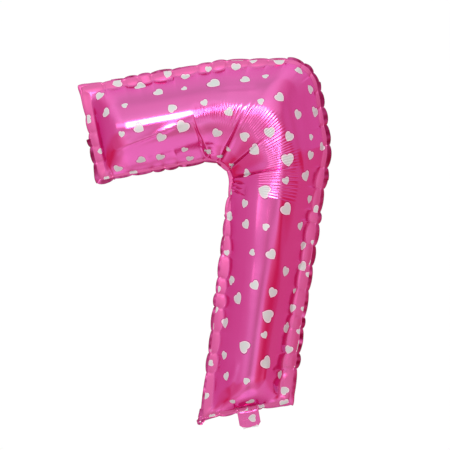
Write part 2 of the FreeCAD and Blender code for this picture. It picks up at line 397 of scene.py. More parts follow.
# soft folds of the bar and leg, in millimetres: from x, z to x, z; height; spread above and below
FOLDS = [
    (-185, 634, -20, 664, 4.2, 7, 4),
    (-190, 606, 0, 640, -0.8, 10, 16),
    (-25, 36, -22, 4, -3.4, 2.2, 2.2),
    (22, 36, 25, 4, -3.4, 2.2, 2.2),
    (60, 716, 150, 704, 1.6, 5, 16),
    (205, 690, 214, 470, -1.8, 6, 9),
    (243, 690, 222, 470, -1.6, 6, 8),
    (196, 660, 120, 300, 1.8, 9, 12),
    (-35, 60, -2, 128, 2.6, 9, 5),
    (44, 66, 62, 118, 2.8, 6, 10),
    (-62, 112, -12, 98, -1.4, 9, 9),
    (70, 96, 108, 72, -2.2, 8, 9),
    (-95, 20, -20, 78, -2.0, 12, 14),
    (86, 18, 74, 70, -2.6, 8, 10),
    (-90, 10, 60, 18, -1.2, 5, 5),
]
FOLD_STARTS, FOLD_STOPS = (-0.1, 0.3), (0.7, 1.1)  # where it rises and falls, as shares of its length
SOFT_FORM, SHARP_FORM = 2.0, 1.3
SHARP_SPREAD = 4  # a fold with a side as narrow as this has a sharp crest


def fold_field(x, z):
    """Long soft ridges and hollows, each with one side steeper than the other."""
    total = np.zeros_like(x)
    for x0, z0, x1, z1, height, above, below in FOLDS:
        start, run = np.array([x0, z0]) * MM, np.array([x1 - x0, z1 - z0]) * MM
        length = np.linalg.norm(run)
        run = run / length
        dx, dz = x - start[0], z - start[1]
        part = (dx * run[0] + dz * run[1]) / length
        off = -dx * run[1] + dz * run[0]
        spread = np.where(off > 0, above, below) * MM
        form = SOFT_FORM if min(above, below) > SHARP_SPREAD else SHARP_FORM
        taper = smooth(part, *FOLD_STARTS) * (1 - smooth(part, *FOLD_STOPS))
        total += height * MM * np.exp(-np.abs(off / spread) ** form) * taper
    return total


# creases that run out from the crook: angle from +X in degrees, bend, start and end radius, depth
CROOK_CREASES = [
    (83, 12, 0.056, 0.135, 0.0034),
    (91, 2, 0.080, 0.150, 0.0022),
    (76, 2, 0.051, 0.070, 0.0016),
    (52, 1, 0.054, 0.182, 0.0044),
    (25, 3, 0.054, 0.160, 0.0040),
    (1, -1, 0.051, 0.200, 0.0046),
    (-9, -3, 0.052, 0.082, 0.0022),
    (-17, -4, 0.052, 0.078, 0.0020),
    (-25, -5, 0.054, 0.086, 0.0020),
]
CREASE_WIDTH = 0.0018
PLEAT_RISE = 1.3  # how high the film stands beside a crease, against the crease's depth
PLEAT_WIDTH = 0.021

# the accordion ribs lie in a band round the crook. Going from the bar to the leg it moves outwards and
# widens at the right of the crook, then moves back in and widens again at the top of the leg
RIB_PITCH, RIB_PITCH_LEG = 0.0054, 0.0011
RIB_DEPTH = 0.0024
RIB_MIDDLE, RIB_OUT, RIB_BACK = 0.156, 0.016, 0.8
RIB_HALF, RIB_HALF_RIGHT, RIB_HALF_LEG = 0.018, 0.008, 0.012
RIB_EDGE = 3.0
# where those changes and the band's ends are, in degrees: the first two turn clockwise from +X
RIGHT_TURN, LEG_TURN = (-62, -45), (-8, 2)
BAND_STARTS, BAND_STOPS = (-26, -17), (86, 95)


def crook_field(x, z):
    """Creases and the fine accordion ribs round the inside corner of the digit."""
    dx, dz = x - CROOK_CENTRE[0], z - CROOK_CENTRE[1]
    r = np.hypot(dx, dz)
    angle = np.arctan2(dz, dx)
    turn = np.degrees(angle)
    total = np.zeros_like(r)
    for degrees, bend, start, stop, depth in CROOK_CREASES:
        along = np.clip((r - start) / (stop - start), 0, 1)
        line = (angle - math.radians(degrees) - math.radians(bend) * along) * r
        run = smooth(along, 0, 0.10) * (1 - along**4)
        total -= depth * run * np.exp(-np.abs(line) / CREASE_WIDTH)
        after = np.maximum(-line, 0)
        rise = np.exp(-after / PLEAT_WIDTH) * (1 - np.exp(-after / CREASE_WIDTH))
        total += PLEAT_RISE * depth * run * rise
    right = smooth(-turn, *RIGHT_TURN)
    leg = smooth(-turn, *LEG_TURN)
    middle = RIB_MIDDLE + RIB_OUT * (right - RIB_BACK * leg)
    half = RIB_HALF + RIB_HALF_RIGHT * right + RIB_HALF_LEG * leg
    band = np.exp(-np.abs((r - middle) / half) ** RIB_EDGE)
    band = band * smooth(turn, *BAND_STARTS) * (1 - smooth(turn, *BAND_STOPS))
    pitch = RIB_PITCH + RIB_PITCH_LEG * leg
    # the ribs wander a little, and some are deeper than others
    phase = angle * middle / pitch + 0.25 * np.sin(angle * 9.0) + 0.2 * np.sin(angle * 23.0 + 1)
    uneven = 0.8 + 0.3 * np.sin(angle * 31 + 2) * np.sin(angle * 13)
    total -= RIB_DEPTH * band * uneven * (1 - np.abs(np.sin(math.pi * phase)))
    return total


# soft waves of the taut film: height, wavelength, and how much longer they are along the digit
LONG_WAVES = (0.0008, 0.120, 3.5)
SHORT_WAVES = (0.00015, 0.050, 2.5)
WAVES_CLEAR = 0.05  # they reach their full height this far from the welds
FOLDS_CLEAR = (0.006, 0.02)
CREASES_CLEAR = (0, 0.006)
BACK_SHIFT = 0.004  # the back's gathers stand this far along from the front's
PULL_FADE = 0.007
FRONT_SEED, BACK_SEED = 100, 200


def wrinkle(base, where, s_in, s_out, width, side):
    """The front (side -1) or back (side 1) film with its gathers, creases and soft waves."""
    inner, outer, bar, leg = seam_distances(base)
    phi = np.linspace(0, math.pi, ACROSS + 1)
    across = (1 - np.cos(phi))[None] / 2 * width[:, None]
    end_bar = across * (SEAMS["bar"].length / width[0])
    end_leg = across * (SEAMS["leg"].length / width[-1])
    rows_in, rows_out = s_in[:, None], s_out[:, None]
    if side > 0:
        rows_in, rows_out = rows_in + BACK_SHIFT, rows_out + BACK_SHIFT
    bump = SEAMS["inner"].gathers(rows_in, inner)
    bump += SEAMS["outer"].gathers(rows_out, outer)
    bump += SEAMS["bar"].gathers(end_bar, bar)
    bump += SEAMS["leg"].gathers(end_leg, leg)
    clear = smooth(np.minimum(np.minimum(inner, outer), np.minimum(bar, leg)), 0, WAVES_CLEAR)
    seed = FRONT_SEED if side < 0 else BACK_SEED
    every = np.zeros_like(inner)
    along = where[:, None] + every
    for k, (height, wavelength, stretch) in enumerate((LONG_WAVES, SHORT_WAVES)):
        bump += height * clear * field_noise(along / stretch, inner, wavelength, seed + k)
    x, z = base[..., 0], base[..., 2]
    bump += fold_field(x, z) * smooth(inner, *FOLDS_CLEAR) * smooth(outer, *FOLDS_CLEAR)
    bump += crook_field(x, z) * smooth(inner, *CREASES_CLEAR)
    shape = base + normals(base) * bump[..., None]

    def pull(s, d, seam, out):
        outwards, forwards = SEAMS[seam].shift(s)
        fade = np.exp(-((d / PULL_FADE) ** 2))
        move = np.stack([out[..., 0] * outwards, forwards, out[..., 1] * outwards], -1)
        return move * fade[..., None]

    out_inner = out_of(INNER, s_in)[:, None] + every[..., None]
    out_outer = -out_of(OUTER, s_out)[:, None] + every[..., None]
    shape += pull(s_in[:, None] + every, inner, "inner", out_inner)
    shape += pull(s_out[:, None] + every, outer, "outer", out_outer)
    shape += pull(end_bar, bar, "bar", np.broadcast_to(BAR_OUT, bar.shape + (2,)))
    shape += pull(end_leg, leg, "leg", np.broadcast_to(LEG_OUT, leg.shape + (2,)))
    if side > 0:
        shape[..., 1] *= -1
    return shape


def out_of(track, s):
    """The in-plane direction to the right of a track."""
    h = track.heading(s)
    return np.stack([h[:, 1], -h[:, 0]], 1)


def link(name, data):
    """A new object in the scene, for a mesh, a camera or a light."""
    ob = bpy.data.objects.new(name, data)
    bpy.context.scene.collection.objects.link(ob)
    return ob


def mesh_object(name, points, faces):
    """A smooth-shaded object from points and quads."""
    me = bpy.data.meshes.new(name)
    me.from_pydata(points, [], faces, shade_flat=False)
    me.validate()
    return link(name, me)


def grid_faces(rows, columns, closed=False, flip=False):
    """Quads of a grid whose points are numbered row by row."""
    i, j = np.meshgrid(np.arange(rows if closed else rows - 1), np.arange(columns - 1), indexing="ij")
    a = i * columns + j
    b = ((i + 1) % rows) * columns + j
    quads = np.stack([a, b, b + 1, a + 1], -1).reshape(-1, 4)
    return quads[:, ::-1] if flip else quads


# ---- print ----
# hearts of the front: x and z in millimetres, width in millimetres, turn in degrees
FRONT_HEARTS = [
    # bar
    (-201, 762, 24, 20), (-190, 720, 25, -60), (-146, 729, 16, 125), (-158, 785, 25, 80),
    (-104, 768, 29, -35), (-43, 783, 20, 20), (-4, 770, 23, 5), (-66, 743, 25, -35),
    (-10, 741, 15, -35), (-45, 703, 23, 150), (28, 700, 18, -20), (-121, 671, 25, -50),
    (-163, 663, 16, 15), (-30, 654, 32, 35), (-79, 640, 25, 30), (-222, 642, 15, 90),
    (-133, 603, 24, -40), (-92, 601, 23, 25), (-35, 608, 17, 20), (-189, 595, 23, 25),
    (-157, 577, 20, 0), (15, 597, 18, 100), (-27, 588, 20, 10), (-240, 716, 22, 90),
    (-218, 568, 14, 0),
    # top and shoulder
    (50, 778, 17, 10), (112, 770, 24, 15), (152, 782, 22, 20), (211, 768, 28, -10),
    (58, 741, 33, -35), (127, 737, 25, -40), (171, 738, 17, 140), (250, 737, 23, -35),
    (148, 681, 17, 125), (192, 681, 25, -35), (265, 693, 23, 130), (225, 638, 25, 35),
    (267, 640, 27, 40),
    # crook
    (78, 669, 22, -30), (42, 630, 25, 35), (101, 614, 25, 135), (158, 609, 27, 0),
    (120, 578, 28, -40), (197, 593, 25, 40), (247, 587, 16, 130), (238, 545, 23, 30),
    (186, 543, 32, 0), (62, 594, 13, 60), (41, 581, 14, 0), (63, 556, 14, 30),
    (269, 560, 22, 90), (94, 531, 21, -60),
    # leg
    (221, 502, 27, -25), (172, 499, 19, -15), (121, 486, 32, 125), (76, 466, 22, 40),
    (53, 496, 16, 90), (37, 444, 24, 80), (71, 419, 24, -35), (111, 408, 18, 140),
    (164, 437, 32, -35), (220, 450, 21, 20), (232, 426, 20, 60), (188, 395, 22, -15),
    (71, 357, 17, 90), (114, 345, 26, -25), (189, 353, 22, -80), (216, 351, 14, 0),
    (17, 366, 15, 0), (17, 305, 24, 150), (137, 302, 25, 40), (179, 306, 25, -20),
    (66, 286, 24, -25), (22, 262, 30, -35), (101, 263, 25, 40), (151, 255, 14, 0),
    (80, 218, 32, 130), (138, 216, 22, 20), (-14, 212, 26, -20), (16, 160, 31, 130),
    (66, 173, 18, -20), (117, 177, 28, -28), (-30, 143, 22, 40), (60, 113, 32, -38),
    (115, 127, 21, 30), (-34, 97, 22, -30), (8, 85, 17, 150), (85, 75, 21, -20),
    (-87, 57, 18, 20), (-30, 39, 16, 100), (12, 30, 23, -20), (89, 39, 22, 150),
    (84, 6, 24, 0), (32, 6, 18, 0), (-80, 8, 16, 0), (145, 161, 15, 0),
    (168, 210, 14, 0), (196, 283, 16, 0), (-17, 290, 16, 0), (-35, 246, 16, 0),
    (-63, 130, 16, 90),
]
BACK_SIZES = (16, 18, 22, 24, 25, 31)
BACK_GAP = 0.0135
BACK_TRIES = 9000
HEART_SEED = 77
NO_HEART = 9.0  # a place outside every heart, in heart half-widths


def scattered_hearts(base):
    """The back's hearts: the same sizes as the front's, scattered with even gaps."""
    r = np.random.default_rng(HEART_SEED)
    flat = base.reshape(-1, 3)
    made = []
    for _ in range(BACK_TRIES):
        x, _, z = flat[r.integers(len(flat))]
        size = float(r.choice(BACK_SIZES))
        degrees = float(r.uniform(-180, 180))
        reach = [math.dist((x, z), (a * MM, b * MM)) - (size + c) / 2 * MM for a, b, c, _ in made]
        if not made or min(reach) > BACK_GAP:
            made.append((x / MM, z / MM, size, degrees))
    return made


def print_map(ob, base, faces, side, hearts):
    """Stores, on every face corner, its place in the nearest heart, in heart half-widths."""
    flat = base.reshape(-1, 3).copy()
    flat[:, 1] *= -side
    n = normals(base).reshape(-1, 3).copy()
    n[:, 1] *= -side
    centres = flat[faces].mean(1)
    uv = np.full((len(faces), 4, 2), NO_HEART)
    best = np.full(len(faces), np.inf)
    for x, z, size, degrees in hearts:
        k = np.argmin((flat[:, 0] - x * MM) ** 2 + (flat[:, 2] - z * MM) ** 2)
        c, normal = flat[k], n[k]
        t = math.radians(degrees)
        up = np.array([math.sin(t), 0, math.cos(t)])
        up = unit(up - normal * (up @ normal))
        right = np.cross(up, normal)
        away = np.linalg.norm(centres - c, axis=1)
        mine = np.nonzero((away < size * MM) & (away < best))[0]
        best[mine] = away[mine]
        delta = flat[faces[mine]] - c
        a, b = delta @ right, delta @ up
        true = np.linalg.norm(delta, axis=2) / np.maximum(np.hypot(a, b), 1e-6)
        half = size * MM / 2
        uv[mine] = np.stack([a * true / half, b * true / half], -1)
    layer = ob.data.uv_layers.new(name="print")
    layer.data.foreach_set("uv", uv.astype(np.float32).ravel())


# ---- materials ----
MIX_A, MIX_B, MIX_OUT = 6, 7, 2  # the colour sockets of Blender's mix node


class Nodes:
    """Short calls for building a node tree."""

    def __init__(self, tree):
        self.tree = tree

    def add(self, kind, inputs=None, **settings):
        node = self.tree.nodes.new(kind)
        for name, value in settings.items():
            setattr(node, name, value)
        for key, value in (inputs or {}).items():
            self.put(node, key, value)
        return node

    def put(self, node, key, value):
        """Links an input to another node's output, or sets it to a constant."""
        if isinstance(value, bpy.types.NodeSocket):
            self.tree.links.new(value, node.inputs[key])
        else:
            node.inputs[key].default_value = value

    def math(self, operation, *values):
        node = self.add("ShaderNodeMath", operation=operation)
        for k, value in enumerate(values):
            self.put(node, k, value)
        return node.outputs[0]

    def vector(self, operation, a, b):
        return self.add("ShaderNodeVectorMath", {0: a, 1: b}, operation=operation).outputs[0]

    def mix(self, factor, a, b):
        """The colour a where the factor is 0, and b where it is 1."""
        colours = {MIX_A: a, MIX_B: b}
        return self.add("ShaderNodeMix", {"Factor": factor, **colours}, data_type="RGBA").outputs[MIX_OUT]

    def noise(self, place, scale, detail):
        inputs = {"Vector": place, "Scale": scale, "Detail": detail}
        return self.add("ShaderNodeTexNoise", inputs).outputs["Fac"]

    def ramp(self, value, stops):
        """A colour read off the stops, each a place from 0 to 1 and a colour or a grey."""
        node = self.add("ShaderNodeValToRGB", {"Fac": value})
        elements = node.color_ramp.elements
        while len(elements) < len(stops):
            elements.new(0.5)
        for element, (place, colour) in zip(elements, stops):
            element.position = place
            element.color = (*colour, 1) if isinstance(colour, tuple) else (colour, colour, colour, 1)
        return node.outputs["Color"]


def empty_tree(owner):
    """The node tree of a material or a world, emptied."""
    owner.use_nodes = True
    owner.node_tree.nodes.clear()
    return Nodes(owner.node_tree)


def material(name):
    mat = bpy.data.materials.new(name)
    return mat, empty_tree(mat)


def heart_inside(n, x, y, size):
    """1 inside the heart curve (x^2 + y^2 - 1)^3 = x^2 y^3 drawn at that size."""
    x = n.math("DIVIDE", x, size)
    y = n.math("DIVIDE", y, size)
    xx = n.math("MULTIPLY", x, x)
    yy = n.math("MULTIPLY", y, y)
    ring = n.math("SUBTRACT", n.math("ADD", xx, yy), 1.0)
    cube = n.math("MULTIPLY", n.math("MULTIPLY", ring, ring), ring)
    lobes = n.math("MULTIPLY", xx, n.math("MULTIPLY", yy, y))
    return n.math("LESS_THAN", n.math("SUBTRACT", cube, lobes), 0.0)


# film and print colours
FOIL_PINK = (0.79, 0.135, 0.45, 1)
FOIL_DEEP = (0.75, 0.095, 0.37, 1)
# painted shade: the maroon that darkens some lobes of the fin and the ear, standing in for the shade they
# lie in
PAINTED_SHADE_MAROON = (0.30, 0.004, 0.075, 1)
HEART_GREY = (0.50, 0.50, 0.505, 1)
HEART_RING = (0.76, 0.46, 0.60, 1)
HEART_LINE = (0.30, 0.03, 0.14, 1)
SLACK_PINK = (0.60, 0.095, 0.29, 1)
EDGE_TINT = (0.80, 0.22, 0.50, 1)

# noise across the film, as scale and detail: clouds of tone, grain of the mirror, fine crinkle
CLOUD, GRAIN, CRINKLE = (9.0, 2.0), (900.0, 2.0), (70.0, 4.0)
CLOUD_MIX = 0.8
MIRROR_ROUGH, GRAIN_ROUGH = 0.135, 0.05
SLACK_ROUGH, SLACK_DULL = 0.22, 0.42  # roughness added and metal lost on slack film
PRINT_ROUGH, PRINT_DULL = 0.22, 0.92  # the same under the print
SEAM_ROUGH = 0.06
HEART_DROP = 0.08  # centres the heart curve on its place
LINE_SIZE, RING_SIZE, FILL_SIZE = 0.87, 0.80, 0.68  # dark line, pink ring and grey fill of a heart
CRINKLE_STRENGTH, CRINKLE_DEPTH = 0.04, 0.002
COAT = {"Coat Weight": 0.15, "Coat Roughness": 0.05, "Coat IOR": 1.5}


def foil(name, printed):
    """Metallised pink film: mirror-like where it is taut, duller where it lies slack by a weld. Without
    print, it is darkened towards maroon by painted shade, a number read from each point.
    """
    mat, n = material(name)
    place = n.add("ShaderNodeTexCoord").outputs["Object"]
    tone = n.mix(n.math("MULTIPLY", n.noise(place, *CLOUD), CLOUD_MIX), FOIL_PINK, FOIL_DEEP)
    rough = n.math("ADD", n.math("MULTIPLY", n.noise(place, *GRAIN), GRAIN_ROUGH), MIRROR_ROUGH)
    slack = n.add("ShaderNodeAttribute", attribute_name="slack").outputs["Fac"]
    rough = n.math("ADD", rough, n.math("MULTIPLY", slack, SLACK_ROUGH))
    tone = n.mix(slack, tone, SLACK_PINK)
    metal = n.math("SUBTRACT", 1.0, n.math("MULTIPLY", slack, SLACK_DULL))
    if printed:
        uv = n.add("ShaderNodeUVMap", uv_map="print").outputs["UV"]
        xy = n.add("ShaderNodeSeparateXYZ", {"Vector": uv})
        x, y = xy.outputs["X"], n.math("ADD", xy.outputs["Y"], HEART_DROP)
        line, ring, fill = (heart_inside(n, x, y, size) for size in (LINE_SIZE, RING_SIZE, FILL_SIZE))
        tone = n.mix(line, tone, HEART_LINE)
        tone = n.mix(ring, tone, HEART_RING)
        tone = n.mix(fill, tone, HEART_GREY)
        bare = n.math("SUBTRACT", 1.0, n.math("MULTIPLY", ring, PRINT_DULL))
        metal = n.math("MULTIPLY", metal, bare)
        rough = n.math("ADD", rough, n.math("MULTIPLY", ring, PRINT_ROUGH))
    else:
        # painted shade: the number on each point darkens the fin and the ear towards maroon where they would
        # lie in shade
        painted_shade = n.add("ShaderNodeAttribute", attribute_name="painted_shade").outputs["Fac"]
        tone = n.mix(painted_shade, tone, PAINTED_SHADE_MAROON)
        rough = n.math("ADD", rough, SEAM_ROUGH)
    crinkle = {"Height": n.noise(place, *CRINKLE), "Strength": CRINKLE_STRENGTH, "Distance": CRINKLE_DEPTH}
    normal = n.add("ShaderNodeBump", crinkle).outputs["Normal"]
    surface = {"Base Color": tone, "Roughness": rough, "Metallic": metal, "Normal": normal}
    shader = n.add("ShaderNodeBsdfPrincipled", {**surface, "Specular Tint": EDGE_TINT, **COAT})
    n.add("ShaderNodeOutputMaterial", {"Surface": shader.outputs[0]})
    return mat


STREAK = (220.0, 3.0)
FILM_PALE, FILM_GREY = (0.86, 0.82, 0.85, 1), (0.72, 0.70, 0.74, 1)
FILM_ROUGH, STREAK_ROUGH = 0.22, 0.12
FILM_CLEAR = 0.25


def clear_film(name):
    """The valve's pale film, which lets some light through."""
    mat, n = material(name)
    place = n.add("ShaderNodeTexCoord").outputs["Object"]
    streak = n.noise(place, *STREAK)
    tone = n.mix(streak, FILM_PALE, FILM_GREY)
    rough = n.math("ADD", n.math("MULTIPLY", streak, STREAK_ROUGH), FILM_ROUGH)
    surface = {"Base Color": tone, "Roughness": rough, "Transmission Weight": FILM_CLEAR}
    shader = n.add("ShaderNodeBsdfPrincipled", surface)
    n.add("ShaderNodeOutputMaterial", {"Surface": shader.outputs[0]})
    return mat


# ---- pieces ----
def mark(ob, name, values):
    """Stores a number on every point, for the material to read."""
    layer = ob.data.attributes.new(name, "FLOAT", "POINT")
    layer.data.foreach_set("value", np.asarray(values, np.float32).ravel())


SLACK_EDGE = (0.80, 1.50)  # where the film goes from slack to taut, against the shelf's width
SLACK_ENDS = (0.014, 0.024)
LEG_SLACK_LESS = 1.6  # the slack film at the leg's end is this many times narrower


def slackness(base, s_in, s_out):
    """1 on the slack film beside a weld and 0 on the taut pillow."""
    inner, outer, bar, leg = seam_distances(base)
    ledge_in = shelf_inner(s_in) * SEAMS["inner"].ledge(s_in)
    ledge_out = shelf_outer(s_out) * SEAMS["outer"].ledge(s_out)
    near_in = 1 - smooth(inner / ledge_in[:, None], *SLACK_EDGE)
    near_out = 1 - smooth(outer / ledge_out[:, None], *SLACK_EDGE)
    near_ends = 1 - smooth(np.minimum(bar, leg * LEG_SLACK_LESS), *SLACK_ENDS)
    return np.maximum(np.maximum(near_in, near_out), near_ends)


def build_panels(base, where, s_in, s_out, width, printed):
    """The front and back films of the digit, with their hearts."""
    for side, name in ((-1, "front"), (1, "back")):
        shape = wrinkle(base, where, s_in, s_out, width, side)
        faces = grid_faces(base.shape[0], base.shape[1], flip=side < 0)
        ob = mesh_object(f"{name}_foil", shape.reshape(-1, 3), faces)
        print_map(ob, base, faces, side, FRONT_HEARTS if side < 0 else scattered_hearts(base))
        mark(ob, "slack", slackness(base, s_in, s_out))
        ob.data.materials.append(printed)
        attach(ob, "balloon")
        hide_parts(f"{name}_panel")


FIN_STEP = 0.0011


def loop_of_welds():
    """The whole weld line as one closed run: seam names, distances, points, outward directions."""

    def end(name, start, stop, outward, s):
        a, b = np.array(start[:2]), np.array(stop[:2])
        return name, s, a + (b - a) * (s / SEAMS[name].length)[:, None], np.tile(outward, (len(s), 1))

    inner = np.arange(0, INNER.length, FIN_STEP)
    leg = np.arange(0, SEAMS["leg"].length, FIN_STEP)
    outer = np.arange(OUTER.length, 0, -FIN_STEP)
    bar = np.arange(SEAMS["bar"].length, 0, -FIN_STEP)
    stretches = [
        ("inner", inner, INNER.at(inner), out_of(INNER, inner)),
        end("leg", LEG_END_LEFT, LEG_END_RIGHT, LEG_OUT, leg),
        ("outer", outer, OUTER.at(outer), -out_of(OUTER, outer)),
        end("bar", BAR_END_BOTTOM, BAR_END_TOP, BAR_OUT, bar),
    ]
    names, *parts = zip(*stretches)
    names = np.repeat(names, [len(s) for s in parts[0]])
    return names, *(np.concatenate(part) for part in parts)


# width of the fin outside each weld, and how much painted shade darkens it: seam, from, to, width, share of
# painted shade
FIN_ZONES = [
    ("inner", 0, 0.035, 0.008, 0.95),
    ("inner", 0.035, 0.28, 0.0052, 0.9),
    ("inner", 0.28, 0.4, 0.005, 0.05),
    ("inner", 0.4, 0.84, 0.007, 0.5),
    ("inner", 0.84, 1.1, 0.01, 0.95),
    ("outer", 0, 0.07, 0.004, 0.05),
    ("outer", 0.07, 0.23, 0.0055, 0.6),
    ("outer", 0.23, 0.47, 0.0045, 0.35),
    ("outer", 0.47, 0.56, 0.0085, 0.95),
    ("outer", 0.56, 0.78, 0.0112, 0.92),
    ("outer", 0.78, 1.4, 0.01, 0.65),
    ("bar", 0, 0.095, 0.01, 0.95),
    ("bar", 0.095, 0.3, 0.0045, 0.05),
    ("leg", 0, 0.3, 0.0035, 0.6),
]
FIN_ACROSS = [-0.22, 0.0, 0.15, 0.35, 0.55, 0.78, 1.0]  # 0 at the weld, 1 at the fin's edge
FIN_TURN_ROWS = (-5, -2, 0, 2, 5)  # neighbours averaged for an even outward direction
FIN_TURN_ROUNDS = 3
FIN_LEAST, FIN_PUFF = 0.62, 0.45
CORNER_WIDER, CORNER_SPREAD, CORNER_PALER = 0.004, 0.014, 0.4
# the fin leans back, and leans further on the lobes that get painted shade
FIN_LEAN, FIN_LEAN_SHADED = 0.0025, 0.0035
FIN_TILT, FIN_CRINKLE = 0.0010, 0.0007
FINE_CRINKLE, WIDE_CRINKLE = (0.024, 8), (0.070, 9)  # wavelength and seed
FIN_CURL = 1.3
FIN_THICKNESS = 0.0003
# the fin's painted shade, a maroon standing in for the shade on its lobes: its usual share, and what the
# humps, tilts and crinkles add to it
SHADE_LEAST, SHADE_HUMP, SHADE_TILT, SHADE_CRINKLE = 0.55, 0.35, 0.25, 0.18
SHADE_FROM = 0.3
FIN_SLACK = 0.8


def build_fin(welded):
    """The crimped fin outside the weld: scalloped between the gathers, and leaning back."""
    names, s, points, outward = loop_of_welds()
    count = len(s)
    for _ in range(FIN_TURN_ROUNDS):
        outward = unit(sum(np.roll(outward, k, 0) for k in FIN_TURN_ROWS))
    out, side, hump, puff, tilt, wide, painted_shade = np.zeros((7, count))
    for name, seam in SEAMS.items():
        mine = names == name
        out[mine], side[mine] = seam.shift(s[mine])
        k, hump[mine] = seam.lobe(s[mine])
        puff[mine], tilt[mine] = seam.puff[k], seam.tilt[k]
    for name, start, stop, width, tone in FIN_ZONES:
        inside = (names == name) & (s >= start) & (s < stop)
        wide[inside], painted_shade[inside] = width, tone
    around = np.arange(count) * FIN_STEP
    corner = np.zeros(count)
    for c in (BAR_END_TOP, BAR_END_BOTTOM, LEG_END_LEFT, LEG_END_RIGHT):
        away = np.linalg.norm(points - np.array(c[:2]), axis=1)
        corner = np.maximum(corner, np.exp(-((away / CORNER_SPREAD) ** 2)))
    crinkle = band_noise(around, *FINE_CRINKLE) * band_noise(around, *WIDE_CRINKLE)
    wide = wide * (FIN_LEAST + FIN_PUFF * hump * puff) + CORNER_WIDER * corner
    lean = FIN_LEAN + FIN_LEAN_SHADED * painted_shade * hump
    wave = lean + FIN_TILT * tilt * hump + FIN_CRINKLE * crinkle
    grid = np.zeros((count, len(FIN_ACROSS), 3))
    flat = points + outward * out[:, None]
    for j, t in enumerate(FIN_ACROSS):
        place = flat + outward * (wide * t)[:, None]
        grid[:, j, 0], grid[:, j, 2] = place[:, 0], place[:, 1]
        grid[:, j, 1] = side + wave * max(t, 0) ** FIN_CURL
    ob = mesh_object("seam_margin", grid.reshape(-1, 3), grid_faces(count, len(FIN_ACROSS), closed=True))
    # painted shade: lobes are darkened towards maroon, more on humps and tilted lobes, less at the four
    # corners
    shade = painted_shade * (SHADE_LEAST + SHADE_HUMP * hump + SHADE_TILT * tilt)
    shade = shade + SHADE_CRINKLE * crinkle * (painted_shade > SHADE_FROM)
    shade = np.clip(shade, 0, 1) * (1 - CORNER_PALER * corner)
    mark(ob, "painted_shade", np.repeat(shade, len(FIN_ACROSS)))
    mark(ob, "slack", np.repeat(FIN_SLACK * (1 - painted_shade), len(FIN_ACROSS)))
    gap = np.nonzero((names == "leg") & (np.abs(points[:, 0]) < NECK_HALF))[0]
    bm = bmesh.new()
    bm.from_mesh(ob.data)
    bm.verts.ensure_lookup_table()
    doomed = [bm.verts[k * len(FIN_ACROSS) + j] for k in gap for j in range(len(FIN_ACROSS))]
    bmesh.ops.delete(bm, geom=doomed, context="VERTS")
    bm.to_mesh(ob.data)
    bm.free()
    thicken(ob, FIN_THICKNESS)
    ob.data.materials.append(welded)
    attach(ob, "balloon")
    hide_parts("perimeter_seam")


def thicken(ob, thickness):
    """Gives a single sheet its thickness, with the modifier applied to the mesh."""
    modifier = ob.modifiers.new("thick", "SOLIDIFY")
    modifier.thickness = thickness
    modifier.offset = 0
    view = bpy.context.evaluated_depsgraph_get()
    mesh = bpy.data.meshes.new_from_object(ob.evaluated_get(view), depsgraph=view)
    ob.modifiers.clear()
    ob.data = mesh


# the tail: its one heart, its mesh, and how each film stands off the weld plane
TAIL_HEARTS = [(6, -9, 20, 100)]
TAIL_ROWS, TAIL_COLUMNS = 44, 49
TAIL_TOP = 0.0088
TAIL_CHAMFER = 0.007
TAIL_THICKNESS = 0.00012
TAIL_SIDE, TAIL_SWELL, NECK_SWELL = 0.0007, 0.0008, 0.0017
TAIL_CLOSEST = 0.00045
TAIL_WAVE, TAIL_DROOP = 0.0003, 0.0008
TAIL_SLACK = 0.55


def build_tail(printed, films):
    """The front and back of the filling tail: soft sheets that cross the fold, close together at the sides.
    """
    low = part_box("tail_front_film")[0]
    half, bottom = -low.x, low.z
    z = np.linspace(TAIL_TOP, bottom, TAIL_ROWS)
    narrow = np.maximum(0, bottom + TAIL_CHAMFER - z)
    side = np.linspace(-1, 1, TAIL_COLUMNS)
    x = (half - narrow)[:, None] * side[None]
    rows = z[:, None] + 0 * x
    open_neck = smooth(rows, bottom, 0.004) * (1 - smooth(rows, 0.005, TAIL_TOP))
    for sign, name in ((-1, "front"), (1, "back")):
        swell = TAIL_SIDE + (TAIL_SWELL + NECK_SWELL * open_neck) * (1 - side[None] ** 2)
        # three creases in each film: across the tail, up the neck, and down the tail
        fold = 0.0007 * np.exp(-np.abs(rows + 0.0095 + 0.10 * sign * x) / 0.0012)
        fold += 0.0006 * np.exp(-np.abs(x - 0.010 * sign - 0.15 * rows) / 0.0014) * open_neck
        fold += 0.0005 * np.exp(-np.abs(x + 0.013 * sign + 0.25 * rows) / 0.0012)
        wave = TAIL_WAVE * np.sin(x * 620 + sign) * smooth(-rows, 0.012, 0.026)
        y = sign * np.maximum(swell - fold * (1 - side[None] ** 4), TAIL_CLOSEST) + wave
        droop = rows - TAIL_DROOP * np.cos(x * 260 + 1) * smooth(-rows, 0.020, 0.028)
        grid = np.stack([x, y, droop], -1)
        faces = grid_faces(TAIL_ROWS, TAIL_COLUMNS, flip=sign > 0)
        ob = mesh_object(f"tail_{name}_foil", grid.reshape(-1, 3), faces)
        front = grid * np.array([1, -sign, 1])
        print_map(ob, front, faces, sign, TAIL_HEARTS if sign < 0 else [])
        mark(ob, "slack", np.full(grid.shape[:2], TAIL_SLACK))
        thicken(ob, TAIL_THICKNESS)
        ob.data.materials.append(printed)
        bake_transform(ob)
        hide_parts(f"neck_{name}_film", f"tail_{name}_film")
        build_mouth(sign, name, films)


MOUTH_ROWS, MOUTH_COLUMNS = 27, 41
MOUTH_THICKNESS = 0.00008
MOUTH_GAP, MOUTH_PARTS = 0.00022, 0.0006  # off the weld plane in the tail, and more at the free end
MOUTH_WAVE, MOUTH_DROOP = 0.00035, 0.0006


